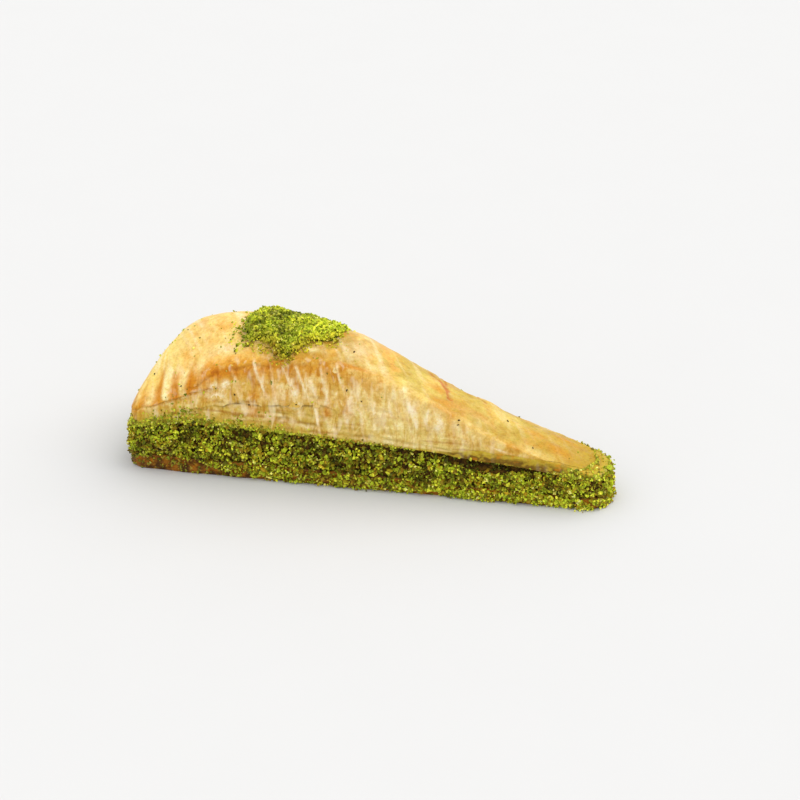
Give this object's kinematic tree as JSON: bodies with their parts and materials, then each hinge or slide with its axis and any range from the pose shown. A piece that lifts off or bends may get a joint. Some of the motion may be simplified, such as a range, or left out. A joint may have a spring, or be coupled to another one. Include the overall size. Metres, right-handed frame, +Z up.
{
  "type": "baklava slice",
  "caption": "Long wedge-shaped baklava slice with a brown pastry base, a pistachio layer, a tall pleated pastry roof and a heap of ground pistachio on top.",
  "frame": {"origin": "under the middle of the slice's bounding box, on the surface that it rests on", "axes": "+X from the wide rim end to the blunt tip, -Y out of the cut side that is shown, +Z up"},
  "size_m": [0.1616, 0.054, 0.0518],
  "materials": {
    "golden_pastry": "thin syrup-glazed pastry leaves, pale gold with orange-brown creases, glossy on top",
    "brown_pastry": "dark red-brown, syrup-soaked pressed leaves, moist",
    "ground_pistachio": "coarse green ground pistachio with dark and yellow bits, moist",
    "strewn_pistachio": "bright yellow-green ground pistachio, dry"
  },
  "bodies": {
    "root": {"pastry_base": "brown_pastry", "pistachio_filling": "ground_pistachio", "pastry_top": "golden_pastry", "pistachio_topping": "strewn_pistachio"}
  },
  "joints": []
}
